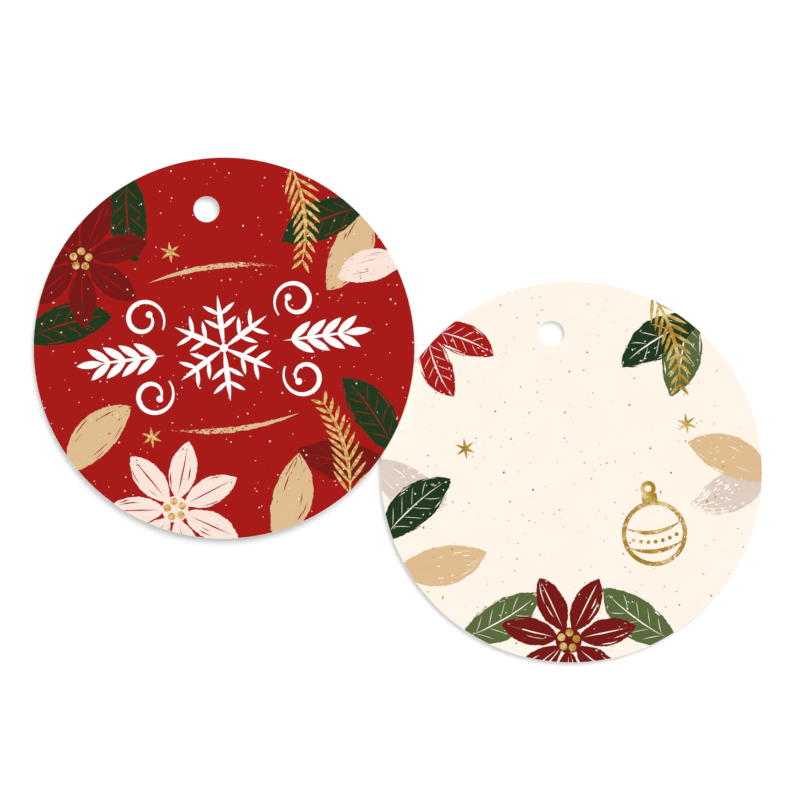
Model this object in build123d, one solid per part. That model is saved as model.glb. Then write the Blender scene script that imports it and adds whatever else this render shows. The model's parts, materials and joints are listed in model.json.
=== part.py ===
from build123d import *

import math
import os

# A pair of round double-sided gift tags lying on a table.
# Each tag is a white core board with a facing paper glued to either side, one printed red and one
# printed cream, cut round and punched with one hole. Ink and foil lie flush in the papers' surfaces.
# The upper tag lies red side up with its rim over the rim of the lower tag, which lies cream side up.
# Frame: +Z up, table at Z = 0, origin under the middle of the pair. Lengths in mm, angles in degrees.
# Headings are counter-clockwise from +X. Hours are as on a clock face with the hole at twelve.

# Driving dimensions of one tag
TAG_DIAMETER = 60.0
HOLE_DIAMETER = 4.0
HOLE_TO_RIM = 8.0  # hole centre to the nearest point of the rim
CORE_THICKNESS = 0.50
GLUE_THICKNESS = 0.02
PAPER_THICKNESS = 0.13
PRINT_DEPTH = 0.03  # how far ink and foil reach into the paper
PRINT_MARGIN = 0.04  # paper left bare along every cut edge
REGISTER_GAP = 0.05  # bare line round each printed colour
SMALLEST_SCRAP = 0.40  # a scrap of colour with less area than this, in square mm, isn't printed

# How the two tags lie
RIM_OVERLAP = 2.0  # how far the upper tag's rim reaches over the lower tag
LAY_HEADING = -19.65  # from the upper tag's centre to the lower tag's
LAY_CLEARANCE = 0.05  # air between the upper tag and the rim that it lies on
UPPER_TURN = 7.2  # hole turned counter-clockwise from +Y
LOWER_TURN = 8.1

# Leaves and flowers
LEAF_LENGTH = 14.5
LEAF_WIDTH = 6.2
BUD_LENGTH = 11.0
BUD_WIDTH = 5.0
LEAF_BOW = 0.9  # how far a leaf bends sideways
LEAF_OVERHANG = 1.5  # a leaf starts this far outside the rim and is cut off with it
FLOWER_INSET = 3.5  # rim to a flower's centre
FLOWER_HEART = 2.1  # radius of the round middle of a flower
PETAL_LENGTH = 9.4
PETAL_WIDTH = 4.3
PETAL_START = 1.5  # flower centre to the base of a petal
PETAL_COUNT = 7
SEED_RADIUS = 0.60
SEED_RING = 1.25
SEED_COUNT = 5

# Gold twigs and snow crystals
TWIG_LENGTH = 17.0
STEM_WIDTH = 0.6
STEM_BOW = 1.6
NEEDLE_LENGTH = 4.8
NEEDLE_WIDTH = 0.55
NEEDLE_HEADING = 38.0
NEEDLE_PAIRS = 10
NEEDLE_TAPER = 0.55  # share of its length that a needle at the tip has lost
CRYSTAL_ARM = 1.7
CRYSTAL_WIDTH = 0.5
CRYSTAL_BARS = 3

# White ornament: snowflake, leaf sprays and tendrils
FLAKE_ARM = 8.4
FLAKE_WIDTH = 0.85
FLAKE_ARMS = 6
FLAKE_HEART = 0.65  # radius of the round middle that joins the arms
BARB_LENGTH = 3.1
BARB_WIDTH = 0.65
BARB_HEADING = 55.0
BARB_ROOTS = (3.0, 5.2)  # snowflake centre to the barbs
SPRAY_START = 9.4  # ornament centre to the root of a spray
SPRAY_LENGTH = 11.0
SPRAY_WIDTH = 0.50
SPRAY_LEAF_LENGTH = 4.2
SPRAY_LEAF_WIDTH = 1.2
SPRAY_HEADING = 36.0
SPRAY_PAIRS = 4
TENDRIL_POLE = (12.0, 6.0)
TENDRIL_START = 3.4  # pole to the root of a tendril
TENDRIL_END = 1.2
TENDRIL_HEADING = 215.0  # from the pole to the root
TENDRIL_TURN = 430.0
TENDRIL_WIDTH = 0.75  # half way along, where it is thickest
TENDRIL_THIN = 0.24  # at its root and its end
TENDRIL_BALL = 0.52
TENDRIL_POINTS = 13

# Tan rules above and below the ornament
RULE_LENGTH = 21.0
RULE_WIDTH = 0.8
RULE_BOW = 1.3
RULE_OFFSET = 11.6

# Gold bauble
BAUBLE_PLACE = (11.6, -11.4)
BAUBLE_RADIUS = 4.8
BAUBLE_LINE = 0.7
BAND_RISE = 1.5
BAND_SAG = 1.3
CAP_WIDTH = 2.4
CAP_HEIGHT = 1.5
LOOP_RADIUS = 0.85

# Layout of the red side: (hour, lean) of leaves and twigs, (hour, turn) of flowers, centres of crystals
RED_TAN_LEAVES = ((1.75, 20), (5.75, -30), (7.95, 8))
RED_GREEN_LEAVES = ((1.75, -22), (4.3, -24), (9.3, 18), (11.3, -24))
RED_BURGUNDY_LEAVES = ((4.4, 26),)
RED_BLUSH_BUDS = ((2.4, -12),)
RED_BURGUNDY_FLOWER = (10.3, 8)
RED_BLUSH_FLOWER = (6.8, 20)
RED_TWIGS = ((0.85, 26), (4.95, -24))
RED_CRYSTALS = ((-13.0, -12.5), (-6.5, 16.0))

# Layout of the cream side
CREAM_GREIGE_LEAVES = ((3.2, 25), (9.4, -28))
CREAM_TAN_LEAVES = ((3.35, -22), (8.3, -18))
CREAM_OLIVE_LEAVES = ((1.4, 26), (5.2, 22), (7.4, -26))
CREAM_GREEN_LEAVES = ((1.6, -18), (8.6, 22))
CREAM_RED_BUDS = ((10.75, -24), (10.75, 24))
CREAM_BURGUNDY_FLOWER = (6.3, 4)
CREAM_TWIGS = ((1.0, 40),)
CREAM_CRYSTALS = ((-16.0, 6.0), (19.0, 5.0))

# Worked out from the driving dimensions
TAG_RADIUS = TAG_DIAMETER / 2
HOLE_RADIUS = HOLE_DIAMETER / 2
HOLE_OFFSET = TAG_RADIUS - HOLE_TO_RIM
GLUE_START = CORE_THICKNESS / 2
PAPER_START = GLUE_START + GLUE_THICKNESS
HALF_THICKNESS = PAPER_START + PAPER_THICKNESS
PRINT_START = HALF_THICKNESS - PRINT_DEPTH
TAG_THICKNESS = 2 * HALF_THICKNESS
CENTRE_SPACING = TAG_DIAMETER - RIM_OVERLAP

RED_SIDE = 1
CREAM_SIDE = -1


# Plane figures, drawn from the origin along +X and widened by grow all round

def polar(radius, heading, centre=(0.0, 0.0)):
    angle = math.radians(heading)
    return centre[0] + radius * math.cos(angle), centre[1] + radius * math.sin(angle)


def placed(shape, point, heading=0.0):
    return Pos(point[0], point[1]) * Rot(0, 0, heading) * shape


def blade(length, width, bow, grow):
    """A leaf between two arcs, bent sideways by bow."""
    base = (-grow, 0.0)
    tip = (length + grow, 0.0)
    half_width = width / 2 + grow
    upper = ThreePointArc(base, (length / 2, bow + half_width), tip)
    lower = ThreePointArc(tip, (length / 2, bow - half_width), base)
    return make_face([upper, lower])


def ring(radius, width, grow):
    half_width = width / 2 + grow
    return Circle(radius + half_width) - Circle(radius - half_width)


def spiral(grow):
    """A stroke that winds inward, thin at its root and its end and thickest half way, with a ball end."""
    outer_points = []
    inner_points = []
    for index in range(TENDRIL_POINTS):
        share = index / (TENDRIL_POINTS - 1)
        radius = TENDRIL_START + (TENDRIL_END - TENDRIL_START) * share
        heading = TENDRIL_HEADING - TENDRIL_TURN * share
        width = TENDRIL_THIN + (TENDRIL_WIDTH - TENDRIL_THIN) * math.sin(math.pi * share)
        half_width = width / 2 + grow
        outer_points.append(polar(radius + half_width, heading))
        inner_points.append(polar(radius - half_width, heading))
    root_edge = Line(inner_points[0], outer_points[0])
    end_edge = Line(outer_points[-1], inner_points[-1])
    stroke = make_face([Spline(*outer_points), end_edge, Spline(*inner_points), root_edge])
    ball = placed(Circle(TENDRIL_BALL + grow), polar(TENDRIL_END, TENDRIL_HEADING - TENDRIL_TURN))
    return [stroke, ball]


# Motifs, each a list of plane figures in the frame of a printed side

def hour_heading(hour):
    return 90.0 - 30.0 * hour


def rim_leaf(hour, lean, length, width, grow):
    """A leaf that comes in from the rim, leaning off the way to the centre."""
    leaf = blade(length, width, math.copysign(LEAF_BOW, lean), grow)
    heading = hour_heading(hour)
    return placed(leaf, polar(TAG_RADIUS + LEAF_OVERHANG, heading), heading + 180 + lean)


def leaves(places, grow):
    return [rim_leaf(hour, lean, LEAF_LENGTH, LEAF_WIDTH, grow) for hour, lean in places]


def buds(places, grow):
    return [rim_leaf(hour, lean, BUD_LENGTH, BUD_WIDTH, grow) for hour, lean in places]


def flower_centre(flower):
    return polar(TAG_RADIUS - FLOWER_INSET, hour_heading(flower[0]))


def petals(flower, grow):
    centre = flower_centre(flower)
    figures = [placed(Circle(FLOWER_HEART + grow), centre)]
    for index in range(PETAL_COUNT):
        heading = flower[1] + index * 360 / PETAL_COUNT
        petal = blade(PETAL_LENGTH, PETAL_WIDTH, 0.0, grow)
        figures.append(placed(petal, polar(PETAL_START, heading, centre), heading))
    return figures


def seeds(flower, grow):
    centre = flower_centre(flower)
    figures = []
    for index in range(SEED_COUNT):
        heading = flower[1] + index * 360 / SEED_COUNT
        figures.append(placed(Circle(SEED_RADIUS + grow), polar(SEED_RING, heading, centre)))
    return figures


def twig(hour, lean, grow):
    """A bowed stem from the rim with pairs of needles that shorten towards its tip."""
    bow = math.copysign(STEM_BOW, lean)
    strokes = [blade(TWIG_LENGTH, STEM_WIDTH, bow, grow)]
    for pair in range(1, NEEDLE_PAIRS + 1):
        share = pair / (NEEDLE_PAIRS + 0.5)
        root = (share * TWIG_LENGTH, 4 * bow * share * (1 - share))
        slope = math.degrees(math.atan(4 * bow * (1 - 2 * share) / TWIG_LENGTH))
        needle = blade(NEEDLE_LENGTH * (1 - NEEDLE_TAPER * share), NEEDLE_WIDTH, 0.0, grow)
        strokes.append(placed(needle, root, slope + NEEDLE_HEADING))
        strokes.append(placed(needle, root, slope - NEEDLE_HEADING))
    heading = hour_heading(hour)
    base = polar(TAG_RADIUS + LEAF_OVERHANG, heading)
    return [placed(stroke, base, heading + 180 + lean) for stroke in strokes]


def crystal(point, grow):
    bar = placed(blade(2 * CRYSTAL_ARM, CRYSTAL_WIDTH, 0.0, grow), (-CRYSTAL_ARM, 0.0))
    return [placed(bar, point, 90 + index * 180 / CRYSTAL_BARS) for index in range(CRYSTAL_BARS)]


def snowflake(grow):
    strokes = [Circle(FLAKE_HEART + grow)]
    for arm in range(FLAKE_ARMS):
        heading = 90 + arm * 360 / FLAKE_ARMS
        strokes.append(placed(blade(FLAKE_ARM, FLAKE_WIDTH, 0.0, grow), (0, 0), heading))
        barb = blade(BARB_LENGTH, BARB_WIDTH, 0.0, grow)
        for root in BARB_ROOTS:
            strokes.append(placed(barb, polar(root, heading), heading + BARB_HEADING))
            strokes.append(placed(barb, polar(root, heading), heading - BARB_HEADING))
    return strokes


def spray(grow):
    """A straight stem along +X with pairs of leaves and one leaf at its tip."""
    leaf = blade(SPRAY_LEAF_LENGTH, SPRAY_LEAF_WIDTH, 0.0, grow)
    stem = blade(SPRAY_LENGTH, SPRAY_WIDTH, 0.0, grow)
    spacing = SPRAY_LENGTH / (SPRAY_PAIRS + 0.5)
    strokes = [placed(stem, (SPRAY_START, 0.0))]
    strokes.append(placed(leaf, (SPRAY_START + SPRAY_PAIRS * spacing, 0.0)))
    for pair in range(SPRAY_PAIRS):
        root = (SPRAY_START + (pair + 0.5) * spacing, 0.0)
        strokes.append(placed(leaf, root, SPRAY_HEADING))
        strokes.append(placed(leaf, root, -SPRAY_HEADING))
    return strokes


def flourishes(grow):
    """A spray between two tendrils, on the right and mirrored on the left."""
    upper = [placed(stroke, TENDRIL_POLE) for stroke in spiral(grow)]
    right = spray(grow) + upper + [mirror(stroke, Plane.XZ) for stroke in upper]
    return right + [mirror(stroke, Plane.YZ) for stroke in right]


def rules(grow):
    """Bowed hairlines above and below the ornament."""
    rule = placed(blade(RULE_LENGTH, RULE_WIDTH, RULE_BOW, grow), (-RULE_LENGTH / 2, RULE_OFFSET))
    return [rule, mirror(rule, Plane.XZ)]


def bauble(grow):
    """A ball in outline with two sagging bands, a cap and a loop."""
    half_band = math.sqrt(BAUBLE_RADIUS ** 2 - BAND_RISE ** 2)
    band = placed(blade(2 * half_band, BAUBLE_LINE, -BAND_SAG, grow), (-half_band, 0.0))
    cap = Rectangle(CAP_WIDTH + 2 * grow, CAP_HEIGHT + 2 * grow)
    figures = [
        ring(BAUBLE_RADIUS, BAUBLE_LINE, grow),
        placed(band, (0.0, BAND_RISE)),
        placed(band, (0.0, -BAND_RISE)),
        placed(cap, (0.0, BAUBLE_RADIUS + CAP_HEIGHT / 2)),
        placed(ring(LOOP_RADIUS, BAUBLE_LINE, grow), (0.0, BAUBLE_RADIUS + CAP_HEIGHT + LOOP_RADIUS)),
    ]
    return [placed(figure, BAUBLE_PLACE) for figure in figures]


def gold_figures(flowers, twig_places, crystal_places, grow):
    figures = []
    for flower in flowers:
        figures += seeds(flower, grow)
    for hour, lean in twig_places:
        figures += twig(hour, lean, grow)
    for point in crystal_places:
        figures += crystal(point, grow)
    return figures


# The two printed sides, seen from the front of each, with their colours in printing order

def red_side_motifs(grow):
    flowers = (RED_BURGUNDY_FLOWER, RED_BLUSH_FLOWER)
    return {
        "tan_print": leaves(RED_TAN_LEAVES, grow) + rules(grow),
        "green_print": leaves(RED_GREEN_LEAVES, grow),
        "burgundy_print": leaves(RED_BURGUNDY_LEAVES, grow) + petals(RED_BURGUNDY_FLOWER, grow),
        "blush_print": buds(RED_BLUSH_BUDS, grow) + petals(RED_BLUSH_FLOWER, grow),
        "white_ornament": snowflake(grow) + flourishes(grow),
        "gold_foil": gold_figures(flowers, RED_TWIGS, RED_CRYSTALS, grow),
    }


def cream_side_motifs(grow):
    return {
        "greige_print": leaves(CREAM_GREIGE_LEAVES, grow),
        "tan_print": leaves(CREAM_TAN_LEAVES, grow),
        "olive_print": leaves(CREAM_OLIVE_LEAVES, grow),
        "green_print": leaves(CREAM_GREEN_LEAVES, grow),
        "red_print": buds(CREAM_RED_BUDS, grow),
        "burgundy_print": petals(CREAM_BURGUNDY_FLOWER, grow),
        "gold_foil": gold_figures((CREAM_BURGUNDY_FLOWER,), CREAM_TWIGS, CREAM_CRYSTALS, grow) + bauble(grow),
    }


# Flat regions and the layers made from them

def punched_disc(margin):
    """The tag's outline with its hole, drawn in by margin from both cuts."""
    hole = placed(Circle(HOLE_RADIUS + margin), (0.0, HOLE_OFFSET))
    return Circle(TAG_RADIUS - margin) - hole


def without_scraps(region):
    return Sketch() + [face for face in region.faces() if face.area >= SMALLEST_SCRAP]


def printed_regions(motifs, ground_name):
    """Every colour's own region: each gives way to the colours printed after it."""
    printable = punched_disc(PRINT_MARGIN + REGISTER_GAP)
    figures = motifs(0.0)
    grown_figures = motifs(REGISTER_GAP)
    regions = {}
    covered = Sketch()
    for name in reversed(figures):
        region = (Sketch() + figures[name]) & printable
        regions[name] = without_scraps(region - covered)
        covered = covered + grown_figures[name]
    regions[ground_name] = without_scraps(printable - covered)
    return regions


def layer(region, side, start, thickness):
    """One flat layer on a side of the tag, in the tag's own frame with the core's middle at Z = 0."""
    face_plane = Plane(origin=(0, 0, side * start), x_dir=(side, 0, 0), z_dir=(0, 0, side))
    return extrude(face_plane * region, thickness, dir=(0, 0, side))


def facing_paper(side):
    """A paper whose printed face is sunk by the depth of the print, inside a bare margin."""
    sheet = layer(punched_disc(0.0), side, PAPER_START, PAPER_THICKNESS)
    return sheet - layer(punched_disc(PRINT_MARGIN), side, PRINT_START, PRINT_DEPTH)


def tag_pieces():
    """All pieces of one tag in its own frame, red side towards +Z and hole towards +Y."""
    card = punched_disc(0.0)
    pieces = {"core_board": layer(card, RED_SIDE, -CORE_THICKNESS / 2, CORE_THICKNESS)}
    sides = (
        ("red_side_", RED_SIDE, red_side_motifs, "red_ground"),
        ("cream_side_", CREAM_SIDE, cream_side_motifs, "cream_ground"),
    )
    for side_name, side, motifs, ground_name in sides:
        pieces[side_name + "glue"] = layer(card, side, GLUE_START, GLUE_THICKNESS)
        pieces[side_name + "paper"] = facing_paper(side)
        for colour, region in printed_regions(motifs, ground_name).items():
            pieces[side_name + colour] = layer(region, side, PRINT_START, PRINT_DEPTH)
    return pieces


# Where the two tags lie

def lower_tag_plane():
    """Flat on the table, turned over so that the cream side is up."""
    centre = polar(CENTRE_SPACING / 2, LAY_HEADING)
    across = polar(-1.0, LOWER_TURN)
    return Plane(origin=(*centre, HALF_THICKNESS), x_dir=(*across, 0), z_dir=(0, 0, -1))


def upper_tag_plane():
    """Red side up, far rim on the table and near rim propped on the lower tag."""
    tilt = math.atan((TAG_THICKNESS + LAY_CLEARANCE) / CENTRE_SPACING)
    centre = polar(-CENTRE_SPACING / 2, LAY_HEADING)
    lean = polar(-math.sin(tilt), LAY_HEADING)
    normal = Vector(*lean, math.cos(tilt))
    underside_centre = Vector(*centre, TAG_RADIUS * math.sin(tilt))
    across = polar(1.0, UPPER_TURN)
    return Plane(origin=underside_centre + normal * HALF_THICKNESS, x_dir=(*across, 0), z_dir=normal)


def main():
    os.makedirs("parts", exist_ok=True)
    pieces = tag_pieces()
    for tag_name, plane in (("upper_tag_", upper_tag_plane()), ("lower_tag_", lower_tag_plane())):
        for piece_name, piece in pieces.items():
            export_step(plane * piece, os.path.join("parts", tag_name + piece_name + ".step"))


main()
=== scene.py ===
import json
import math
import random

import bpy
from mathutils import Matrix, Vector, noise
from mathutils.geometry import delaunay_2d_cdt


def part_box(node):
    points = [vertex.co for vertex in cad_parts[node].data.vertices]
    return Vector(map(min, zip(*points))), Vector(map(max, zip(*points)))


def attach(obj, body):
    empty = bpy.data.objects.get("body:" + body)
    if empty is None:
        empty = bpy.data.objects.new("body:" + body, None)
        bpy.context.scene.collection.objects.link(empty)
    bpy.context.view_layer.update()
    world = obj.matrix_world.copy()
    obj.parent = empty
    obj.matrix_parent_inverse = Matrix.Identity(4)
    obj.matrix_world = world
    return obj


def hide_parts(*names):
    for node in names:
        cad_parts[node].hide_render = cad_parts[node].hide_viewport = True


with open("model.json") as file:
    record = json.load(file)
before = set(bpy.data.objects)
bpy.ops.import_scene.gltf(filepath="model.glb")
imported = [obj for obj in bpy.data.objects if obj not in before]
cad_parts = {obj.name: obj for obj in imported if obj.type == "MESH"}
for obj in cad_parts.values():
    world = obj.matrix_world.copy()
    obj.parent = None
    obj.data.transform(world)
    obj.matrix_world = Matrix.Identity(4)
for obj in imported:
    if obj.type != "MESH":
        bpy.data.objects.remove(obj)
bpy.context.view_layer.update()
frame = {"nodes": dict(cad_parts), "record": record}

# Looks of a pair of round gift tags: card, papers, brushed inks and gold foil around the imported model.
# The prints are drawn in millimetres, each side seen from its front with the hole at twelve, and then laid
# on both tags in metres. Headings are in degrees, counter-clockwise from +X, and hours are as on a clock.

MM = 0.001

# What the camera sees: the photograph's scale, at the height where it holds, and the pixel over the origin
IMAGE_SIDE = 800
MM_PER_PIXEL = 0.15727
SCALE_HEIGHT = 1.0
ORIGIN_PIXEL = (397.74, 410.09)
LENS = 200.0
SENSOR = 36.0

# Light: the window and the dome together just turn a white table white
WINDOW_SHARE = 0.50
WINDOW_ELEVATION = 54.0
WINDOW_HEADING = 52.0
WINDOW_ANGLE = 40.0
DOME_EDGE = 0.20
DOME_RISE = 0.62
TABLE_GLOW = 0.25
TABLE_SIDE = 3000.0
TABLE_DROP = 0.02
WHITE = (1.0, 1.0, 1.0, 1.0)

# Printed films: bare margin at the cut edges, depth in the paper, and height over it
PRINT_MARGIN = 0.04
PRINT_DEPTH = 0.03
GROUND_LIFT = 0.002
INK_LIFT = 0.006
FOIL_LIFT = 0.012

# Outlines: points round each kind of circle, and how near two points have to be to become one
RIM_POINTS = 480
HOLE_POINTS = 72
RING_POINTS = 64
LOOP_POINTS = 32
BALL_POINTS = 24
DISC_POINTS = 16
DOT_POINTS = 12
SPECK_POINTS = 8
WELD = 1e-3
POINT_DECIMALS = 4

# Brushed edges: how finely they are drawn, and how far they stray with their fine teeth
EDGE_STEP = 0.16
EDGE_WOBBLE = 0.16
WOBBLE_SIZE = 1.4
TOOTH_SHARE = 0.7
TOOTH_SIZE = 0.30
WOBBLE_LIMIT = 0.35
EDGE_SEEDS = 100
CLEAN_STEPS = 10

# Bare gaps in the paint: how finely they are drawn, and how unevenly they open
GAP_STEPS = 5
GAP_UNEVEN = (0.6, 1.4)

# Slits: their end is a share of a leaf's length, and drift and bands are shares of its half width
SLIT_LENGTH = (1.2, 3.8)
SLIT_OPENING = (0.09, 0.22)
SLIT_END = (0.35, 0.98)
SLIT_DRIFT = 0.08
SLIT_BAND = (0.30, 0.97)
VEINED_SLIT_BAND = (0.85, 0.97)
LEAF_SLITS = 6
PETAL_SLITS = 2

# Crumbs, and the share of a stroke's length from which the brush runs dry
CRUMB_LENGTH = (0.20, 0.60)
CRUMB_OPENING = (0.08, 0.20)
LEAF_CRUMBS = 16
LEAF_DRY_FROM = 0.25
PETAL_CRUMBS = 5
PETAL_DRY_FROM = 0.45
RULE_CRUMBS = 110
RULE_DRY_FROM = 0.35
DRY_SPOTS = 90
DRY_SPOT_LENGTH = (0.30, 1.10)
DRY_SPOT_OPENING = (0.14, 0.40)
DRY_SPOTS_FROM = 0.30

# Midribs and veins: places along a leaf are shares of its length, and the band is in shares of its half width
MIDRIB_WIDTH = 0.22
MIDRIB_SPAN = (0.10, 0.90)
VEIN_PAIRS = 4
VEIN_WIDTH = 0.13
VEIN_FIRST_ROOT = 0.18
VEIN_SPREAD = 0.60
VEIN_RUN = 0.15
VEIN_BAND = (0.05, 0.78)

# A film's brush map: strokes lie apart in it, so that their streaks differ
STROKE_SPACING = 7.3

# A film's bake map: its top over most of the square, its underside small in a corner, its walls folded out
TOP_SHARE = 0.80
UNDER_SHARE = 0.18
WALL_FOLD = 0.10

# Leaves and flowers. A leaf, bud or petal has a length and a width.
LEAF = (14.5, 6.2)
BUD = (11.0, 5.0)
LEAF_BOW = 0.9
LEAF_OVERHANG = 1.5
FLOWER_INSET = 3.5
FLOWER_HEART = 2.1
PETAL = (9.4, 4.3)
PETAL_START = 1.5
PETAL_COUNT = 7
SEED_RADIUS = 0.60
SEED_RING = 1.25
SEED_COUNT = 5

# Spacings from the end of a stem to the pair of needles or leaves next to it
PAIR_OFFSET = 0.5

# Gold twigs and snow crystals
TWIG_LENGTH = 17.0
STEM_WIDTH = 0.6
STEM_BOW = 1.6
NEEDLE_LENGTH = 4.8
NEEDLE_WIDTH = 0.55
NEEDLE_HEADING = 38.0
NEEDLE_PAIRS = 10
NEEDLE_TAPER = 0.55
CRYSTAL_ARM = 1.7
CRYSTAL_WIDTH = 0.5
CRYSTAL_BARS = 3

# White ornament: snowflake, leaf sprays and tendrils
FLAKE_ARM = 8.4
FLAKE_WIDTH = 0.85
FLAKE_ARMS = 6
FLAKE_HEART = 0.65
BARB_LENGTH = 3.1
BARB_WIDTH = 0.65
BARB_HEADING = 55.0
BARB_ROOTS = (3.0, 5.2)
SPRAY_START = 9.4
SPRAY_LENGTH = 11.0
SPRAY_WIDTH = 0.50
SPRAY_LEAF_LENGTH = 4.2
SPRAY_LEAF_WIDTH = 1.2
SPRAY_HEADING = 36.0
SPRAY_PAIRS = 4
TENDRIL_POLE = (12.0, 6.0)
TENDRIL_START = 3.4
TENDRIL_END = 1.2
TENDRIL_HEADING = 215.0
TENDRIL_TURN = 430.0
TENDRIL_WIDTH = 0.75
TENDRIL_THIN = 0.24
TENDRIL_BALL = 0.52
TENDRIL_STEPS = 60

# Tan rules above and below the ornament
RULE_LENGTH = 21.0
RULE_WIDTH = 0.8
RULE_BOW = 1.3
RULE_OFFSET = 11.6

# Gold bauble
BAUBLE_PLACE = (11.6, -11.4)
BAUBLE_RADIUS = 4.8
BAUBLE_LINE = 0.7
BAND_RISE = 1.5
BAND_SAG = 1.3
CAP_WIDTH = 2.4
CAP_HEIGHT = 1.5
LOOP_RADIUS = 0.85
BAND_DOTS = 7
BAND_DOT_RADIUS = 0.32
RING_FLECKS = 46
BAND_FLECKS = 10

# Layout of the red side: (hour, lean) of leaves and twigs, (hour, turn) of flowers, centres of crystals
RED_SEED = 1
RED_TAN_LEAVES = ((1.75, 20), (5.75, -30), (7.95, 8))
RED_GREEN_LEAVES = ((1.75, -22), (4.3, -24), (9.3, 18), (11.3, -24))
RED_BURGUNDY_LEAVES = ((4.4, 26),)
RED_BLUSH_BUDS = ((2.4, -12),)
RED_BURGUNDY_FLOWER = (10.3, 8)
RED_BLUSH_FLOWER = (6.8, 20)
RED_TWIGS = ((0.85, 26), (4.95, -24))
RED_CRYSTALS = ((-13.0, -12.5), (-6.5, 16.0))

# Layout of the cream side
CREAM_SEED = 2
CREAM_GREIGE_LEAVES = ((3.2, 25), (9.4, -28))
CREAM_TAN_LEAVES = ((3.35, -22), (8.3, -18))
CREAM_OLIVE_LEAVES = ((1.4, 26), (5.2, 22), (7.4, -26))
CREAM_GREEN_LEAVES = ((1.6, -18), (8.6, 22))
CREAM_RED_BUDS = ((10.75, -24), (10.75, 24))
CREAM_BURGUNDY_FLOWER = (6.3, 4)
CREAM_TWIGS = ((1.0, 40),)
CREAM_CRYSTALS = ((-16.0, 6.0), (19.0, 5.0))

# Fine specks of paint and foil over the grounds: colour, how many, and the smallest and largest radius
RED_SPECKS = (("blush_print", 265, 0.035, 0.145), ("gold_foil", 45, 0.06, 0.15))
CREAM_SPECKS = (
    ("gold_foil", 105, 0.07, 0.20),
    ("olive_print", 175, 0.04, 0.11),
    ("greige_print", 50, 0.07, 0.12),
    ("cream_ground", 60, 0.07, 0.15),
)
SPECK_UNEVEN = (0.85, 1.15)

# Finishes: tones are (level of the grain, share of the slot's colour), and roughness is lowest and highest
BUMP_STRENGTH = 0.5
INK_SHEEN = 0.02
CARD_SHEEN = 0.10

# Even ink
GROUND_CLOUD = 6.0
GROUND_CLOUD_DETAIL = 4.0
GROUND_TONES = ((0.3, 0.985), (0.7, 1.005))
GROUND_FIBRE = 0.16
GROUND_FIBRE_DETAIL = 3.0
GROUND_RELIEF = 0.006
GROUND_ROUGHNESS = (0.55, 0.75)

# Brushed ink
STREAK_LENGTH = 9.0
STREAK_WIDTH = 0.42
STREAK_DETAIL = 5.0
STREAK_TONES = ((0.30, 0.97), (0.70, 1.025))
STREAK_RELIEF = 0.008
STREAK_ROUGHNESS = (0.50, 0.72)

# Foil: its colours from dull to bright, which are painted sheen: lighter and darker bands and bright flecks
# in place of the reflections of real foil, and the size of those painted bands, on either ground
FOIL_PAINTED_SHEEN_TONES = {
    "red_ground": ((0.27, 0.14, 0.02), (0.46, 0.28, 0.085), (0.64, 0.43, 0.19)),
    "cream_ground": ((0.27, 0.14, 0.008), (0.33, 0.20, 0.040), (0.50, 0.40, 0.16)),
}
FOIL_LEVELS = (0.56, 0.70, 0.86)
FOIL_PAINTED_SHEEN_SIZE = {"red_ground": 0.55, "cream_ground": 2.4}
FOIL_PAINTED_SHEEN_DETAIL = 5.0
# Fine grain of the foil: partly its uneven take, partly painted glints and dark flecks
FOIL_GRAIN = 0.22
FOIL_GRAIN_DETAIL = 2.0
FOIL_GRAIN_SHARE = 0.45
FOIL_RELIEF = 0.012
FOIL_ROUGHNESS = (0.35, 0.60)

# Facing paper
PAPER_FIBRE = 0.35
PAPER_DETAIL = 4.0
PAPER_STRETCH = (1.0, 1.0, 2.0)
PAPER_TONES = ((0.3, 0.95), (0.7, 1.0))
PAPER_RELIEF = 0.008
PAPER_ROUGHNESS = (0.60, 0.80)

# Core board
BOARD_PULP = 0.60
BOARD_DETAIL = 5.0
BOARD_STRETCH = (1.0, 1.0, 9.0)
BOARD_TONES = ((0.25, 0.86), (0.75, 1.0))
BOARD_RELIEF = 0.020
BOARD_ROUGHNESS = (0.75, 0.95)

# Dried glue
GLUE_CLOUD = 0.80
GLUE_DETAIL = 3.0
GLUE_TONES = ((0.3, 0.90), (0.7, 1.0))
GLUE_RELIEF = 0.004
GLUE_ROUGHNESS = (0.30, 0.45)

# The record's material slot of every printed colour
SLOTS = {
    "red_ground": "red_ink",
    "cream_ground": "cream_ink",
    "tan_print": "tan_ink",
    "green_print": "green_ink",
    "olive_print": "olive_ink",
    "burgundy_print": "burgundy_ink",
    "blush_print": "blush_ink",
    "greige_print": "greige_ink",
    "red_print": "red_ink",
    "white_ornament": "white_ink",
    "gold_foil": "gold_foil",
}


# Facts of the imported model

MOUNTS = {mount["name"]: mount for mount in frame["record"]["mounts"]}
COLOURS = {item["slot"]: (*item["base_color"], 1.0) for item in frame["record"]["materials"]}


def tag_matrix(tag, red_side_up):
    """From a tag's own frame, red side to +Z and hole to +Y, to the model's frame."""
    low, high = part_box(tag + "_core_board")
    centre = (low + high) / 2
    hole = MOUNTS[tag + "_hole"]
    normal = Vector(hole["axis"]).normalized()
    if not red_side_up:
        normal.negate()
    up = Vector(hole["pos_m"]) - centre
    up = (up - up.dot(normal) * normal).normalized()
    across = up.cross(normal)
    turn = Matrix((across, up, normal)).transposed()
    return Matrix.Translation(centre) @ turn.to_4x4()


LOWER_LOW, LOWER_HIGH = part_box("lower_tag_core_board")
TAG_RADIUS = (LOWER_HIGH.x - LOWER_LOW.x) / 2 / MM
HOLE_RADIUS = MOUNTS["lower_tag_hole"]["dims"]["r_mm"]
HALF_THICKNESS = MOUNTS["lower_tag_hole"]["dims"]["length_mm"] / 2
HOLE_OFFSET = (Vector(MOUNTS["lower_tag_hole"]["pos_m"]) - (LOWER_LOW + LOWER_HIGH) / 2).length / MM


# Plane figures in millimetres

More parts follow.
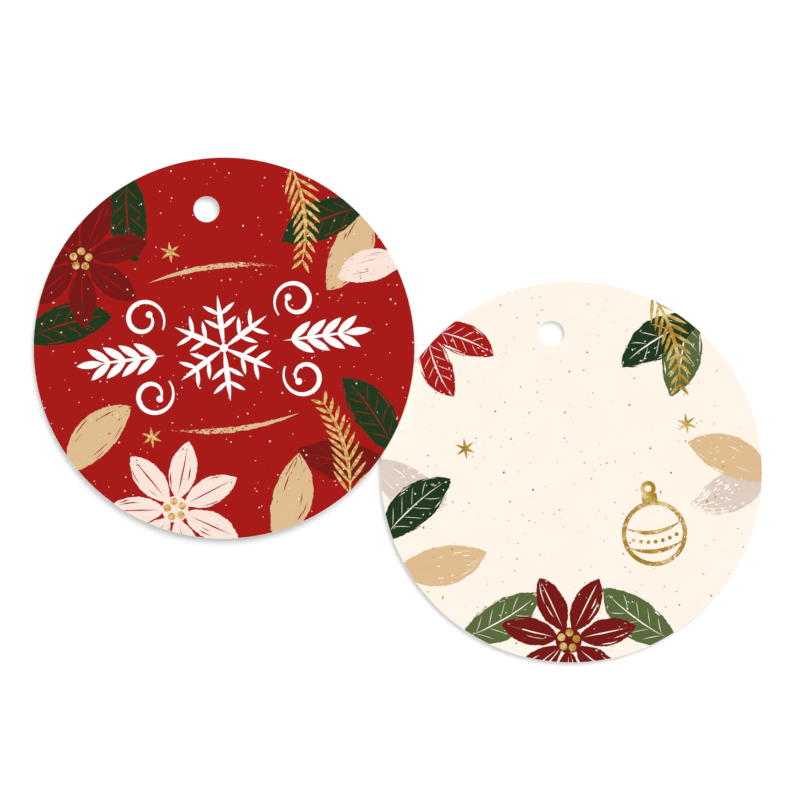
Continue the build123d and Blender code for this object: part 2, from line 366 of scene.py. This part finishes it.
def polar(radius, heading, centre=(0.0, 0.0)):
    angle = math.radians(heading)
    return centre[0] + radius * math.cos(angle), centre[1] + radius * math.sin(angle)


def placed(points, origin, heading=0.0):
    cosine = math.cos(math.radians(heading))
    sine = math.sin(math.radians(heading))
    return [(origin[0] + x * cosine - y * sine, origin[1] + x * sine + y * cosine) for x, y in points]


def circle(radius, count, centre=(0.0, 0.0)):
    return [polar(radius, 360 * index / count, centre) for index in range(count)]


def arc_height(share, length, rise):
    """Height over its chord of a round arc, at a share of the way along the chord."""
    if rise == 0:
        return 0.0
    depth = abs(rise)
    radius = (length ** 2 / 4 + depth ** 2) / (2 * depth)
    along = (share - 0.5) * length
    return math.copysign(math.sqrt(radius ** 2 - along ** 2) - radius + depth, rise)


def in_blade(blade, share, across):
    """A point of a leaf: share from base to tip, across from -1 at one edge to 1 at the other."""
    length, width, bow = blade
    lower = arc_height(share, length, bow - width / 2)
    upper = arc_height(share, length, bow + width / 2)
    return share * length, lower + (upper - lower) * (across + 1) / 2


def blade_outline(blade, steps):
    near = [in_blade(blade, step / steps, -1) for step in range(steps)]
    far = [in_blade(blade, 1 - step / steps, 1) for step in range(steps)]
    return near + far


def brushed_outline(blade, seed):
    """A leaf's outline as a brush leaves it. It strays less where the leaf is narrow."""
    length, width, _ = blade
    steps = round(length / EDGE_STEP)
    edges = []
    for side in (-1, 1):
        edge = []
        for step in range(steps + 1):
            share = step / steps
            half_width = 2 * width * share * (1 - share)
            reach = EDGE_WOBBLE / max(half_width, EDGE_WOBBLE / WOBBLE_LIMIT)
            broad = noise.noise(Vector((share * length / WOBBLE_SIZE, side, seed)))
            tooth = noise.noise(Vector((share * length / TOOTH_SIZE, side, seed)))
            edge.append(in_blade(blade, share, side * (1 + reach * (broad + TOOTH_SHARE * tooth))))
        edges.append(edge)
    near, far = edges
    return near[:-1] + far[:0:-1]


def signed_area(points):
    return sum(a[0] * b[1] - b[0] * a[1] for a, b in zip(points, points[1:] + points[:1])) / 2


# Gaps that a brush leaves, each a sliver between two places (share, across) of a leaf

def gap(chance, blade, start, end, opening):
    near = []
    far = []
    for step in range(GAP_STEPS + 1):
        part = step / GAP_STEPS
        share = start[0] + (end[0] - start[0]) * part
        across = start[1] + (end[1] - start[1]) * part
        x, y = in_blade(blade, share, across)
        half = opening / 2 * math.sin(math.pi * part)
        near.append((x, y - half * chance.uniform(*GAP_UNEVEN)))
        far.append((x, y + half * chance.uniform(*GAP_UNEVEN)))
    return near + far[-2:0:-1]


def slits(chance, blade, count, band):
    """Long thin streaks along the stroke, in a band on either side of its middle."""
    gaps = []
    for _ in range(count):
        across = chance.choice((-1, 1)) * chance.uniform(*band)
        drifted = across + chance.uniform(-SLIT_DRIFT, SLIT_DRIFT)
        length = chance.uniform(*SLIT_LENGTH) / blade[0]
        end = chance.uniform(max(SLIT_END[0], length), SLIT_END[1])
        gaps.append(gap(chance, blade, (end - length, across), (end, drifted), chance.uniform(*SLIT_OPENING)))
    return gaps


def crumbs(chance, blade, count, dry_from, lengths=CRUMB_LENGTH, openings=CRUMB_OPENING):
    """Small bare spots, thicker towards the tip, where the brush runs dry."""
    gaps = []
    for _ in range(count):
        start = dry_from + (1 - dry_from) * math.sqrt(chance.random())
        end = min(1.0, start + chance.uniform(*lengths) / blade[0])
        across = chance.uniform(-1.0, 1.0)
        gaps.append(gap(chance, blade, (start, across), (end, across), chance.uniform(*openings)))
    return gaps


def ring_flecks(chance, radius, width, centre, count):
    """Small bare spots along a ring."""
    gaps = []
    for _ in range(count):
        blade = (chance.uniform(*CRUMB_LENGTH), chance.uniform(*CRUMB_OPENING), 0.0)
        heading = 360 * chance.random()
        place = polar(radius + chance.uniform(-width / 2, width / 2), heading, centre)
        gaps.append(placed(blade_outline(blade, GAP_STEPS), place, heading + 90))
    return gaps


def midrib(chance, blade):
    first, last = MIDRIB_SPAN
    return gap(chance, blade, (first, 0.0), (last, 0.0), MIDRIB_WIDTH)


def veins(chance, blade):
    gaps = [midrib(chance, blade)]
    inner, outer = VEIN_BAND
    for pair in range(VEIN_PAIRS):
        root = VEIN_FIRST_ROOT + VEIN_SPREAD * pair / VEIN_PAIRS
        for side in (-1, 1):
            gaps.append(gap(chance, blade, (root, inner * side), (root + VEIN_RUN, outer * side), VEIN_WIDTH))
    return gaps


class Figure:
    """One printed shape: its outline, the bare gaps in it, and where its stroke starts and heads."""

    def __init__(self, colour, outline, gaps=(), origin=(0.0, 0.0), heading=0.0):
        self.colour = colour
        self.outline = outline
        self.gaps = gaps
        self.origin = origin
        self.heading = heading

    def brush_place(self, point):
        """Along and across the stroke."""
        x = point[0] - self.origin[0]
        y = point[1] - self.origin[1]
        return placed([(x, y)], (0.0, 0.0), -self.heading)[0]


def painted(colour, chance, blade, origin, heading, gaps):
    """A brushed leaf with an unsteady edge."""
    outline = brushed_outline(blade, EDGE_SEEDS * chance.random())
    gaps = [placed(points, origin, heading) for points in gaps]
    return Figure(colour, placed(outline, origin, heading), gaps, origin, heading)


def clean(colour, blade, origin, heading=0.0, gaps=()):
    """A stroke with a sharp edge."""
    gaps = [placed(points, origin, heading) for points in gaps]
    return Figure(colour, placed(blade_outline(blade, CLEAN_STEPS), origin, heading), gaps, origin, heading)


def disc(colour, radius, centre, count=DISC_POINTS):
    return Figure(colour, circle(radius, count, centre), (), centre)


def ring(colour, radius, width, centre, count=RING_POINTS, flecks=()):
    hollow = circle(radius - width / 2, count, centre)
    return Figure(colour, circle(radius + width / 2, count, centre), (hollow, *flecks), centre)


# Motifs, each a list of figures

def hour_heading(hour):
    return 90.0 - 30.0 * hour


def rim_leaves(colour, chance, places, size, veined=False, dry=False):
    """Leaves that come in from the rim, leaning off the way to the centre."""
    figures = []
    for hour, lean in places:
        heading = hour_heading(hour)
        origin = polar(TAG_RADIUS + LEAF_OVERHANG, heading)
        blade = (*size, math.copysign(LEAF_BOW, lean))
        band = VEINED_SLIT_BAND if veined else SLIT_BAND
        gaps = slits(chance, blade, LEAF_SLITS, band) + crumbs(chance, blade, LEAF_CRUMBS, LEAF_DRY_FROM)
        if veined:
            gaps += veins(chance, blade)
        if dry:
            gaps += crumbs(chance, blade, DRY_SPOTS, DRY_SPOTS_FROM, DRY_SPOT_LENGTH, DRY_SPOT_OPENING)
        figures.append(painted(colour, chance, blade, origin, heading + 180 + lean, gaps))
    return figures


def flower_centre(flower):
    return polar(TAG_RADIUS - FLOWER_INSET, hour_heading(flower[0]))


def petals(colour, chance, flower):
    centre = flower_centre(flower)
    blade = (*PETAL, 0.0)
    figures = [disc(colour, FLOWER_HEART, centre)]
    for index in range(PETAL_COUNT):
        heading = flower[1] + index * 360 / PETAL_COUNT
        gaps = slits(chance, blade, PETAL_SLITS, SLIT_BAND)
        gaps += crumbs(chance, blade, PETAL_CRUMBS, PETAL_DRY_FROM)
        gaps.append(midrib(chance, blade))
        figures.append(painted(colour, chance, blade, polar(PETAL_START, heading, centre), heading, gaps))
    return figures


def seeds(flower):
    centre = flower_centre(flower)
    headings = [flower[1] + index * 360 / SEED_COUNT for index in range(SEED_COUNT)]
    return [disc("gold_foil", SEED_RADIUS, polar(SEED_RING, heading, centre)) for heading in headings]


def twig(hour, lean):
    """A bowed stem from the rim with pairs of needles that shorten towards its tip."""
    heading = hour_heading(hour)
    base = polar(TAG_RADIUS + LEAF_OVERHANG, heading)
    turned = heading + 180 + lean
    bow = math.copysign(STEM_BOW, lean)
    figures = [clean("gold_foil", (TWIG_LENGTH, STEM_WIDTH, bow), base, turned)]
    for pair in range(1, NEEDLE_PAIRS + 1):
        share = pair / (NEEDLE_PAIRS + PAIR_OFFSET)
        root = placed([(share * TWIG_LENGTH, 4 * bow * share * (1 - share))], base, turned)[0]
        slope = math.degrees(math.atan(4 * bow * (1 - 2 * share) / TWIG_LENGTH))
        needle = (NEEDLE_LENGTH * (1 - NEEDLE_TAPER * share), NEEDLE_WIDTH, 0.0)
        for side in (-1, 1):
            figures.append(clean("gold_foil", needle, root, turned + slope + side * NEEDLE_HEADING))
    return figures


def crystal(point):
    figures = []
    for index in range(CRYSTAL_BARS):
        heading = 90 + index * 180 / CRYSTAL_BARS
        start = polar(-CRYSTAL_ARM, heading, point)
        figures.append(clean("gold_foil", (2 * CRYSTAL_ARM, CRYSTAL_WIDTH, 0.0), start, heading))
    return figures


def gold_figures(flowers, twig_places, crystal_places):
    figures = []
    for flower in flowers:
        figures += seeds(flower)
    for hour, lean in twig_places:
        figures += twig(hour, lean)
    for point in crystal_places:
        figures += crystal(point)
    return figures


def snowflake():
    barb = (BARB_LENGTH, BARB_WIDTH, 0.0)
    figures = [disc("white_ornament", FLAKE_HEART, (0.0, 0.0))]
    for arm in range(FLAKE_ARMS):
        heading = 90 + arm * 360 / FLAKE_ARMS
        figures.append(clean("white_ornament", (FLAKE_ARM, FLAKE_WIDTH, 0.0), (0.0, 0.0), heading))
        for distance in BARB_ROOTS:
            root = polar(distance, heading)
            for side in (-1, 1):
                figures.append(clean("white_ornament", barb, root, heading + side * BARB_HEADING))
    return figures


def spray():
    """A straight stem along +X with pairs of leaves and one leaf at its tip."""
    leaf = (SPRAY_LEAF_LENGTH, SPRAY_LEAF_WIDTH, 0.0)
    spacing = SPRAY_LENGTH / (SPRAY_PAIRS + PAIR_OFFSET)
    figures = [clean("white_ornament", (SPRAY_LENGTH, SPRAY_WIDTH, 0.0), (SPRAY_START, 0.0))]
    figures.append(clean("white_ornament", leaf, (SPRAY_START + SPRAY_PAIRS * spacing, 0.0)))
    for pair in range(SPRAY_PAIRS):
        root = (SPRAY_START + (pair + PAIR_OFFSET) * spacing, 0.0)
        figures.append(clean("white_ornament", leaf, root, SPRAY_HEADING))
        figures.append(clean("white_ornament", leaf, root, -SPRAY_HEADING))
    return figures


def tendril():
    """A stroke that winds inward, thin at its root and its end and thickest half way, with a ball end."""
    outer = []
    inner = []
    for step in range(TENDRIL_STEPS + 1):
        share = step / TENDRIL_STEPS
        radius = TENDRIL_START + (TENDRIL_END - TENDRIL_START) * share
        heading = TENDRIL_HEADING - TENDRIL_TURN * share
        half = (TENDRIL_THIN + (TENDRIL_WIDTH - TENDRIL_THIN) * math.sin(math.pi * share)) / 2
        outer.append(polar(radius + half, heading, TENDRIL_POLE))
        inner.append(polar(radius - half, heading, TENDRIL_POLE))
    end = polar(TENDRIL_END, TENDRIL_HEADING - TENDRIL_TURN, TENDRIL_POLE)
    stroke = Figure("white_ornament", outer + inner[::-1])
    return [stroke, disc("white_ornament", TENDRIL_BALL, end, BALL_POINTS)]


def mirrored(figures, x_sign, y_sign):
    """Figures turned over across an axis. They have no gaps."""
    turned = []
    for figure in figures:
        turned.append(Figure(figure.colour, [(x_sign * x, y_sign * y) for x, y in figure.outline]))
    return turned


def flourishes():
    """A spray between two tendrils, on the right and mirrored on the left."""
    right = spray() + tendril() + mirrored(tendril(), 1, -1)
    return right + mirrored(right, -1, 1)


def rules(chance):
    """Brushed hairlines, bowed away from the ornament above and below it."""
    blade = (RULE_LENGTH, RULE_WIDTH, RULE_BOW)
    figures = []
    for side, heading in ((1, 0.0), (-1, 180.0)):
        gaps = crumbs(chance, blade, RULE_CRUMBS, RULE_DRY_FROM)
        start = (-side * RULE_LENGTH / 2, side * RULE_OFFSET)
        figures.append(painted("tan_print", chance, blade, start, heading, gaps))
    return figures


def bauble(chance):
    """A ball in outline with two sagging bands, a row of dots between them, a cap and a loop."""
    x, y = BAUBLE_PLACE
    half_band = math.sqrt(BAUBLE_RADIUS ** 2 - BAND_RISE ** 2)
    band = (2 * half_band, BAUBLE_LINE, -BAND_SAG)
    top = y + BAUBLE_RADIUS
    left = x - CAP_WIDTH / 2
    right = x + CAP_WIDTH / 2
    cap = [(left, top), (right, top), (right, top + CAP_HEIGHT), (left, top + CAP_HEIGHT)]
    flecks = ring_flecks(chance, BAUBLE_RADIUS, BAUBLE_LINE, BAUBLE_PLACE, RING_FLECKS)
    figures = [
        ring("gold_foil", BAUBLE_RADIUS, BAUBLE_LINE, BAUBLE_PLACE, flecks=flecks),
        Figure("gold_foil", cap),
        ring("gold_foil", LOOP_RADIUS, BAUBLE_LINE, (x, top + CAP_HEIGHT + LOOP_RADIUS), LOOP_POINTS),
    ]
    for side in (-1, 1):
        gaps = crumbs(chance, band, BAND_FLECKS, 0.0)
        figures.append(clean("gold_foil", band, (x - half_band, y + side * BAND_RISE), 0.0, gaps))
    for index in range(BAND_DOTS):
        share = (index + 1) / (BAND_DOTS + 1)
        place = (x + (2 * share - 1) * half_band, y + arc_height(share, 2 * half_band, -BAND_SAG))
        figures.append(disc("gold_foil", BAND_DOT_RADIUS, place, DOT_POINTS))
    return figures


def specks(chance, kinds):
    figures = []
    for colour, count, smallest, largest in kinds:
        for _ in range(count):
            centre = polar(TAG_RADIUS * math.sqrt(chance.random()), 360 * chance.random())
            radius = chance.uniform(smallest, largest)
            rim = [
                polar(radius * chance.uniform(*SPECK_UNEVEN), 360 * index / SPECK_POINTS, centre)
                for index in range(SPECK_POINTS)
            ]
            figures.append(Figure(colour, rim, (), centre))
    return figures


# The two printed sides, bottom figure first

def red_side_figures():
    chance = random.Random(RED_SEED)
    figures = rim_leaves("tan_print", chance, RED_TAN_LEAVES, LEAF)
    figures += rules(chance)
    figures += rim_leaves("green_print", chance, RED_GREEN_LEAVES, LEAF, veined=True)
    figures += rim_leaves("burgundy_print", chance, RED_BURGUNDY_LEAVES, LEAF, veined=True)
    figures += petals("burgundy_print", chance, RED_BURGUNDY_FLOWER)
    figures += rim_leaves("blush_print", chance, RED_BLUSH_BUDS, BUD)
    figures += petals("blush_print", chance, RED_BLUSH_FLOWER)
    figures += specks(chance, RED_SPECKS)
    figures += snowflake() + flourishes()
    figures += gold_figures((RED_BURGUNDY_FLOWER, RED_BLUSH_FLOWER), RED_TWIGS, RED_CRYSTALS)
    return figures


def cream_side_figures():
    chance = random.Random(CREAM_SEED)
    figures = rim_leaves("greige_print", chance, CREAM_GREIGE_LEAVES, LEAF, dry=True)
    figures += rim_leaves("tan_print", chance, CREAM_TAN_LEAVES, LEAF)
    figures += rim_leaves("olive_print", chance, CREAM_OLIVE_LEAVES, LEAF, veined=True)
    figures += rim_leaves("green_print", chance, CREAM_GREEN_LEAVES, LEAF, veined=True)
    figures += rim_leaves("red_print", chance, CREAM_RED_BUDS, BUD, veined=True)
    figures += petals("burgundy_print", chance, CREAM_BURGUNDY_FLOWER)
    figures += specks(chance, CREAM_SPECKS)
    figures += gold_figures((CREAM_BURGUNDY_FLOWER,), CREAM_TWIGS, CREAM_CRYSTALS)
    figures += bauble(chance)
    return figures


# A printed side as a mosaic: every triangle shows the topmost figure that has paint there

# The first two outlines are the tag's disc and its hole
DISC = 0
HOLE = 1

# What the triangulation keeps: the triangles inside outlines
INSIDE_FACES = 1

# The owner of what no figure covers
GROUND = -1


def mosaic(figures):
    """The corner points, and for every shown triangle its corners and the index of its figure."""
    points = []
    faces = []
    owners = []
    gap_faces = set()

    def add(outline, owner):
        turned = outline if signed_area(outline) > 0 else outline[::-1]
        faces.append(list(range(len(points), len(points) + len(turned))))
        points.extend(Vector((round(x, POINT_DECIMALS), round(y, POINT_DECIMALS))) for x, y in turned)
        owners.append(owner)

    add(circle(TAG_RADIUS - PRINT_MARGIN, RIM_POINTS), GROUND)
    add(circle(HOLE_RADIUS + PRINT_MARGIN, HOLE_POINTS, (0.0, HOLE_OFFSET)), GROUND)
    for index, figure in enumerate(figures):
        add(figure.outline, index)
        for outline in figure.gaps:
            gap_faces.add(len(faces))
            add(outline, index)

    corners, _, triangles, _, _, sources = delaunay_2d_cdt(points, [], faces, INSIDE_FACES, WELD)
    shown = []
    for triangle, source in zip(triangles, sources):
        if DISC not in source or HOLE in source:
            continue
        bare = {owners[face] for face in source if face in gap_faces}
        covering = {owners[face] for face in source if face not in gap_faces} - bare
        shown.append((triangle, max(covering, default=GROUND)))
    return corners, shown


def bake_top(point):
    return [(axis / TAG_RADIUS + 1) / 2 * TOP_SHARE for axis in point]


def bake_under(point):
    return [1 - (1 - axis / TAG_RADIUS) / 2 * UNDER_SHARE for axis in point]


def film_mesh(name, corners, shown, figures, sign, lift):
    """A closed film over the triangles that show one colour, in the tag's own frame."""
    used = sorted({corner for triangle, _ in shown for corner in triangle})
    place = {corner: index for index, corner in enumerate(used)}
    count = len(used)
    vertices = []
    for height in (HALF_THICKNESS + lift, HALF_THICKNESS - PRINT_DEPTH):
        for corner in used:
            x, y = corners[corner]
            vertices.append((sign * x * MM, y * MM, sign * height * MM))

    faces = []
    brush = []
    bake = []

    def add(owner, face, points, bake_points):
        faces.append(face)
        for point, bake_point in zip(points, bake_points):
            along, across = point if owner == GROUND else figures[owner].brush_place(point)
            brush.extend((along, across + STROKE_SPACING * owner))
            bake.extend(bake_point)

    edges = {}
    for triangle, owner in shown:
        a, b, c = triangle
        points = [corners[corner] for corner in triangle]
        add(owner, (place[a], place[b], place[c]), points, [bake_top(point) for point in points])
        points.reverse()
        under = (place[c] + count, place[b] + count, place[a] + count)
        add(owner, under, points, [bake_under(point) for point in points])
        for edge in ((a, b), (b, c), (c, a)):
            edges[edge] = owner
    for (a, b), owner in edges.items():
        if (b, a) in edges:
            continue
        start = corners[a]
        end = corners[b]
        outward = Vector((end.y - start.y, start.x - end.x)).normalized() * WALL_FOLD
        folded = [bake_top(point) for point in (start + outward, end + outward, end, start)]
        add(owner, (place[a] + count, place[b] + count, place[b], place[a]), (start, end, end, start), folded)

    mesh = bpy.data.meshes.new(name)
    mesh.from_pydata(vertices, [], faces)
    mesh.uv_layers.new(name="Brush").data.foreach_set("uv", brush)
    mesh.uv_layers.new(name="OFBake").data.foreach_set("uv", bake)
    mesh.update()
    return mesh


# Materials

def add_node(tree, kind, inputs=None, **settings):
    made = tree.nodes.new("ShaderNode" + kind)
    for name, value in settings.items():
        setattr(made, name, value)
    for name, value in (inputs or {}).items():
        if isinstance(value, bpy.types.NodeSocket):
            tree.links.new(value, made.inputs[name])
        else:
            made.inputs[name].default_value = value
    return made


def new_material(name):
    material = bpy.data.materials.new(name)
    material.use_nodes = True
    return material, material.node_tree, material.node_tree.nodes["Principled BSDF"]


def scaled(colour, factor):
    return (*(min(1.0, channel * factor) for channel in colour[:3]), 1.0)


def colour_ramp(tree, factor, stops):
    ramp = add_node(tree, "ValToRGB", {"Fac": factor})
    elements = ramp.color_ramp.elements
    while len(elements) < len(stops):
        elements.new(1.0)
    for element, (position, colour) in zip(elements, stops):
        element.position = position
        element.color = colour
    return ramp.outputs["Color"]


def tint(tree, shader, pattern, slot, tones):
    """Colour that follows a pattern, in shares of the slot's own colour."""
    stops = [(level, scaled(COLOURS[slot], share)) for level, share in tones]
    tree.links.new(colour_ramp(tree, pattern, stops), shader.inputs["Base Color"])


def object_noise(tree, size_mm, detail, stretch=(1.0, 1.0, 1.0)):
    """Noise over the piece's own coordinates, with grains of about that size."""
    place = add_node(tree, "TexCoord").outputs["Object"]
    scale = tuple(axis / (size_mm * MM) for axis in stretch)
    mapped = add_node(tree, "Mapping", {"Vector": place, "Scale": scale}).outputs["Vector"]
    return add_node(tree, "TexNoise", {"Vector": mapped, "Scale": 1.0, "Detail": detail}).outputs["Fac"]


def brush_noise(tree, length_mm, width_mm, detail):
    """Noise drawn out along the brush strokes."""
    place = add_node(tree, "UVMap", uv_map="Brush").outputs["UV"]
    scale = (1 / length_mm, 1 / width_mm, 1.0)
    mapped = add_node(tree, "Mapping", {"Vector": place, "Scale": scale}).outputs["Vector"]
    return add_node(tree, "TexNoise", {"Vector": mapped, "Scale": 1.0, "Detail": detail}).outputs["Fac"]


def add_surface(tree, shader, height, relief_mm, roughness):
    """Roughness and bump from one height pattern."""
    low, high = roughness
    rough = add_node(tree, "MapRange", {"Value": height, "To Min": low, "To Max": high})
    bump = add_node(tree, "Bump", {"Height": height, "Distance": relief_mm * MM, "Strength": BUMP_STRENGTH})
    tree.links.new(rough.outputs["Result"], shader.inputs["Roughness"])
    tree.links.new(bump.outputs["Normal"], shader.inputs["Normal"])


def ground_ink(name, slot):
    """An even coat of ink that lets the paper's fibres show a little."""
    material, tree, shader = new_material(name)
    tint(tree, shader, object_noise(tree, GROUND_CLOUD, GROUND_CLOUD_DETAIL), slot, GROUND_TONES)
    fibre = object_noise(tree, GROUND_FIBRE, GROUND_FIBRE_DETAIL)
    add_surface(tree, shader, fibre, GROUND_RELIEF, GROUND_ROUGHNESS)
    shader.inputs["Specular IOR Level"].default_value = INK_SHEEN
    return material


def brushed_ink(name, slot):
    """Opaque paint with faint bristle streaks."""
    material, tree, shader = new_material(name)
    streak = brush_noise(tree, STREAK_LENGTH, STREAK_WIDTH, STREAK_DETAIL)
    tint(tree, shader, streak, slot, STREAK_TONES)
    add_surface(tree, shader, streak, STREAK_RELIEF, STREAK_ROUGHNESS)
    shader.inputs["Specular IOR Level"].default_value = INK_SHEEN
    return material


def gold_foil(name, ground):
    """Hot-stamped foil, grainy where it took unevenly, with painted sheen: lighter and darker bands and
    bright flecks in its colour stand in for reflections.
    """
    material, tree, shader = new_material(name)
    # Painted sheen: broad lighter and darker bands of the foil's colour, in place of reflections
    painted_sheen = object_noise(tree, FOIL_PAINTED_SHEEN_SIZE[ground], FOIL_PAINTED_SHEEN_DETAIL)
    grain = object_noise(tree, FOIL_GRAIN, FOIL_GRAIN_DETAIL)
    # Grain over the painted bands: partly the foil's uneven take, partly painted glints
    grain_and_painted_sheen = add_node(tree, "Math", {0: grain, 1: FOIL_GRAIN_SHARE, 2: painted_sheen}, operation="MULTIPLY_ADD")
    stops = [(level, (*tone, 1.0)) for level, tone in zip(FOIL_LEVELS, FOIL_PAINTED_SHEEN_TONES[ground])]
    tree.links.new(colour_ramp(tree, grain_and_painted_sheen.outputs[0], stops), shader.inputs["Base Color"])
    add_surface(tree, shader, grain, FOIL_RELIEF, FOIL_ROUGHNESS)
    shader.inputs["Metallic"].default_value = 1.0
    return material


def paper(name, slot):
    """Coated white paper with fine fibres."""
    material, tree, shader = new_material(name)
    fibre = object_noise(tree, PAPER_FIBRE, PAPER_DETAIL, PAPER_STRETCH)
    tint(tree, shader, fibre, slot, PAPER_TONES)
    add_surface(tree, shader, fibre, PAPER_RELIEF, PAPER_ROUGHNESS)
    shader.inputs["Specular IOR Level"].default_value = CARD_SHEEN
    return material


def board(name, slot):
    """Pulp board whose cut edge shows its layers."""
    material, tree, shader = new_material(name)
    layers = object_noise(tree, BOARD_PULP, BOARD_DETAIL, BOARD_STRETCH)
    tint(tree, shader, layers, slot, BOARD_TONES)
    add_surface(tree, shader, layers, BOARD_RELIEF, BOARD_ROUGHNESS)
    shader.inputs["Specular IOR Level"].default_value = CARD_SHEEN
    return material


def glue(name, slot):
    """Dried adhesive, a little clouded."""
    material, tree, shader = new_material(name)
    cloud = object_noise(tree, GLUE_CLOUD, GLUE_DETAIL)
    tint(tree, shader, cloud, slot, GLUE_TONES)
    add_surface(tree, shader, cloud, GLUE_RELIEF, GLUE_ROUGHNESS)
    return material


# Pieces

def print_material(colour, ground):
    slot = SLOTS[colour]
    name = colour + "_on_" + ground
    if colour == ground:
        return ground_ink(name, slot)
    if colour == "gold_foil":
        return gold_foil(name, ground)
    return brushed_ink(name, slot)


def lift_of(colour, ground):
    if colour == ground:
        return GROUND_LIFT
    return FOIL_LIFT if colour == "gold_foil" else INK_LIFT


def lay_print(side, sign, figures, ground, tags):
    """One film per colour of a side, on both tags."""
    corners, shown = mosaic(figures)
    by_colour = {}
    for triangle, owner in shown:
        colour = ground if owner == GROUND else figures[owner].colour
        by_colour.setdefault(colour, []).append((triangle, owner))
    for colour, part in by_colour.items():
        mesh = film_mesh(side + "_" + colour, corners, part, figures, sign, lift_of(colour, ground))
        mesh.materials.append(print_material(colour, ground))
        for tag, matrix in tags.items():
            node = tag + "_" + side + "_" + colour
            film = bpy.data.objects.new(node + "_film", mesh.copy())
            film.data.transform(matrix)
            bpy.context.scene.collection.objects.link(film)
            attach(film, tag)
            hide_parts(node)


def dress_card(tags):
    """Materials of the core boards, papers and glue, which stay as packed."""
    finishes = {
        "core_board": board("core_board", "white_board"),
        "paper": paper("facing_paper", "white_paper"),
        "glue": glue("dried_glue", "clear_glue"),
    }
    for tag in tags:
        for name in ("core_board", "red_side_paper", "cream_side_paper", "red_side_glue", "cream_side_glue"):
            kind = next(kind for kind in finishes if name.endswith(kind))
            frame["nodes"][tag + "_" + name].material_slots[0].material = finishes[kind]


# Stage

def seen_directly(tree):
    """1 for camera rays and for rays through gloss or glass, and 0 for the rays that light things."""
    rays = add_node(tree, "LightPath").outputs
    seen = rays["Is Camera Ray"]
    for name in ("Is Glossy Ray", "Is Transmission Ray"):
        seen = add_node(tree, "Math", {0: seen, 1: rays[name]}, operation="MAXIMUM").outputs[0]
    return seen


def make_table():
    half = TABLE_SIDE / 2 * MM
    mesh = bpy.data.meshes.new("table")
    corners = [(-half, -half, 0), (half, -half, 0), (half, half, 0), (-half, half, 0)]
    mesh.from_pydata(corners, [], [(0, 1, 2, 3)])
    table = bpy.data.objects.new("table", mesh)
    table.location.z = -TABLE_DROP * MM
    bpy.context.scene.collection.objects.link(table)
    material, tree, shader = new_material("white_table")
    shader.inputs["Base Color"].default_value = WHITE
    shader.inputs["Roughness"].default_value = 1.0
    shader.inputs["Specular IOR Level"].default_value = 0.0
    glow = add_node(tree, "Emission", {"Strength": 1.0})
    share = add_node(tree, "Math", {0: seen_directly(tree), 1: TABLE_GLOW}, operation="MULTIPLY")
    both = add_node(tree, "MixShader", {0: share.outputs[0], 1: shader.outputs[0], 2: glow.outputs[0]})
    tree.links.new(both.outputs[0], tree.nodes["Material Output"].inputs["Surface"])
    mesh.materials.append(material)


def make_sky():
    """A dome that is brighter overhead, and plain white where it is seen directly."""
    world = bpy.data.worlds.new("studio")
    world.use_nodes = True
    bpy.context.scene.world = world
    tree = world.node_tree
    dome = tree.nodes["Background"]
    direction = add_node(tree, "TexCoord").outputs["Generated"]
    height = add_node(tree, "SeparateXYZ", {0: direction}).outputs["Z"]
    squared = add_node(tree, "Math", {0: height, 1: height}, operation="MULTIPLY").outputs[0]
    level = add_node(tree, "Math", {0: squared, 1: DOME_RISE, 2: DOME_EDGE}, operation="MULTIPLY_ADD")
    dome.inputs["Color"].default_value = WHITE
    tree.links.new(level.outputs[0], dome.inputs["Strength"])
    white = add_node(tree, "Background", {"Color": WHITE, "Strength": 1.0})
    both = add_node(tree, "MixShader", {0: seen_directly(tree), 1: dome.outputs[0], 2: white.outputs[0]})
    tree.links.new(both.outputs[0], tree.nodes["World Output"].inputs["Surface"])


def make_sun():
    lamp = bpy.data.lights.new("window", "SUN")
    lamp.energy = WINDOW_SHARE * math.pi / math.sin(math.radians(WINDOW_ELEVATION))
    lamp.angle = math.radians(WINDOW_ANGLE)
    sun = bpy.data.objects.new("window", lamp)
    across, up = polar(math.cos(math.radians(WINDOW_ELEVATION)), WINDOW_HEADING)
    toward = Vector((across, up, math.sin(math.radians(WINDOW_ELEVATION))))
    sun.rotation_euler = toward.to_track_quat("Z", "Y").to_euler()
    bpy.context.scene.collection.objects.link(sun)


def make_camera():
    """Straight down on the pair, as far off as the lens needs for the photograph's scale."""
    width = IMAGE_SIDE * MM_PER_PIXEL
    data = bpy.data.cameras.new("camera")
    data.lens = LENS
    data.sensor_width = SENSOR
    camera = bpy.data.objects.new("camera", data)
    x = (IMAGE_SIDE / 2 - ORIGIN_PIXEL[0]) * MM_PER_PIXEL
    y = (ORIGIN_PIXEL[1] - IMAGE_SIDE / 2) * MM_PER_PIXEL
    camera.location = Vector((x, y, SCALE_HEIGHT + width * LENS / SENSOR)) * MM
    bpy.context.scene.collection.objects.link(camera)
    bpy.context.scene.camera = camera


TAGS = {"upper_tag": tag_matrix("upper_tag", True), "lower_tag": tag_matrix("lower_tag", False)}

lay_print("red_side", 1, red_side_figures(), "red_ground", TAGS)
lay_print("cream_side", -1, cream_side_figures(), "cream_ground", TAGS)
dress_card(TAGS)
make_table()
make_sky()
make_sun()
make_camera()
bpy.context.scene.view_settings.view_transform = "Standard"
